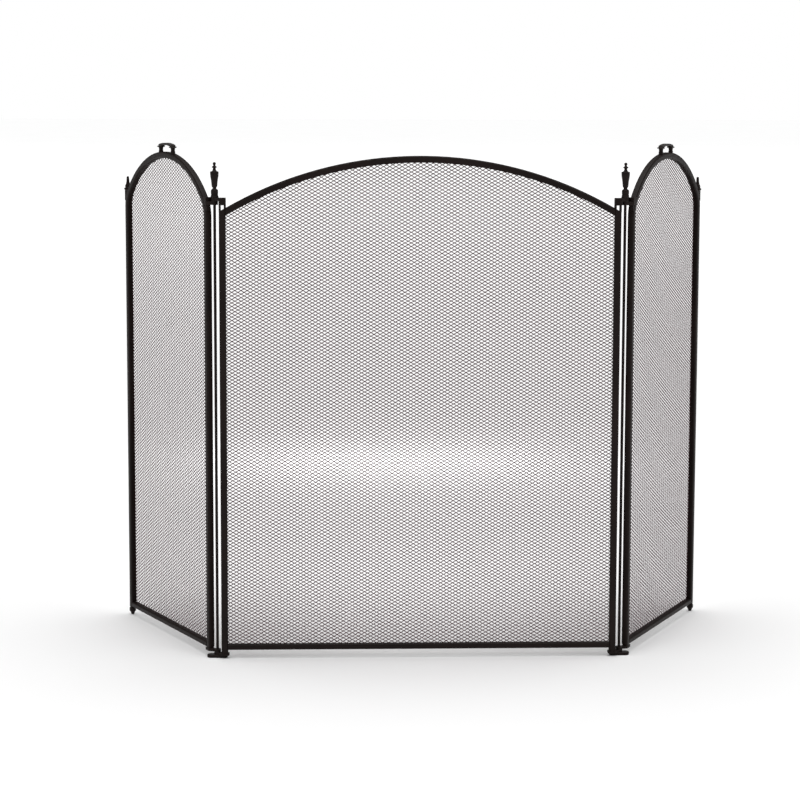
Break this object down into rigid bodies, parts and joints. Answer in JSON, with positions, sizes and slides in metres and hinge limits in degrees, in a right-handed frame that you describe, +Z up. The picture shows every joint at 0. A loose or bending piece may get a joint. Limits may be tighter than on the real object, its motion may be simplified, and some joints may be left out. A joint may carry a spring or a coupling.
{
  "type": "fireplace screen",
  "caption": "Folding three-panel wire-mesh fireplace screen with an arched centre, round-topped hinged wings, urn finials and bail handles.",
  "frame": {"origin": "on the floor, at the middle of the footprint with both wings folded back 60 degrees", "axes": "+X along the centre panel, +Y from the room side to the fire side, +Z up; the room side faces -Y"},
  "size_m": [1.0394, 0.3002, 0.8659],
  "materials": {
    "frame_bar": "satin powder coat, near-black brown",
    "hinge_casting": "satin powder coat over rough casting",
    "turned_trim": "satin powder coat, edges slightly rubbed",
    "hinge_rod": "satin powder coat",
    "retainer_strip": "satin powder coat",
    "wire_mesh": "satin powder coat on woven wire, seen through between the wires",
    "screw": "black oxide",
    "nylon_washer": "matt black nylon"
  },
  "bodies": {
    "centre_panel": {"centre_arch_rail": "frame_bar", "centre_bottom_rail": "frame_bar", "centre_left_stile": "frame_bar", "centre_mesh": "wire_mesh", "centre_mesh_retainer": "retainer_strip", "centre_retainer_screws": "screw", "centre_right_stile": "frame_bar", "left_centre_bottom_ear": "hinge_casting", "left_centre_top_ear": "hinge_casting", "left_hinge_bottom_washer": "nylon_washer", "left_hinge_finial": "turned_trim", "left_hinge_foot": "turned_trim", "left_hinge_rod": "hinge_rod", "left_hinge_top_washer": "nylon_washer", "right_centre_bottom_ear": "hinge_casting", "right_centre_top_ear": "hinge_casting", "right_hinge_bottom_washer": "nylon_washer", "right_hinge_finial": "turned_trim", "right_hinge_foot": "turned_trim", "right_hinge_rod": "hinge_rod", "right_hinge_top_washer": "nylon_washer"},
    "left_wing": {"left_handle_grip": "turned_trim", "left_handle_inner_cap": "turned_trim", "left_handle_inner_post": "turned_trim", "left_handle_outer_cap": "turned_trim", "left_handle_outer_post": "turned_trim", "left_outer_finial": "turned_trim", "left_outer_foot": "turned_trim", "left_wing_bottom_ear": "hinge_casting", "left_wing_bottom_rail": "frame_bar", "left_wing_frame": "frame_bar", "left_wing_hinge_lug": "hinge_casting", "left_wing_mesh": "wire_mesh", "left_wing_mesh_retainer": "retainer_strip", "left_wing_outer_lug": "hinge_casting", "left_wing_retainer_screws": "screw", "left_wing_top_ear": "hinge_casting"},
    "right_wing": {"right_handle_grip": "turned_trim", "right_handle_inner_cap": "turned_trim", "right_handle_inner_post": "turned_trim", "right_handle_outer_cap": "turned_trim", "right_handle_outer_post": "turned_trim", "right_outer_finial": "turned_trim", "right_outer_foot": "turned_trim", "right_wing_bottom_ear": "hinge_casting", "right_wing_bottom_rail": "frame_bar", "right_wing_frame": "frame_bar", "right_wing_hinge_lug": "hinge_casting", "right_wing_mesh": "wire_mesh", "right_wing_mesh_retainer": "retainer_strip", "right_wing_outer_lug": "hinge_casting", "right_wing_retainer_screws": "screw", "right_wing_top_ear": "hinge_casting"}
  },
  "joints": [
    {"name": "left_wing_fold", "type": "hinge", "parent": "centre_panel", "child": "left_wing", "pos_m": [-0.3418, -0.13714, 0], "axis": [0, 0, -1], "range_deg": [-110, 118]},
    {"name": "right_wing_fold", "type": "hinge", "parent": "centre_panel", "child": "right_wing", "pos_m": [0.3418, -0.13714, 0], "axis": [0, 0, 1], "range_deg": [-110, 118]}
  ]
}
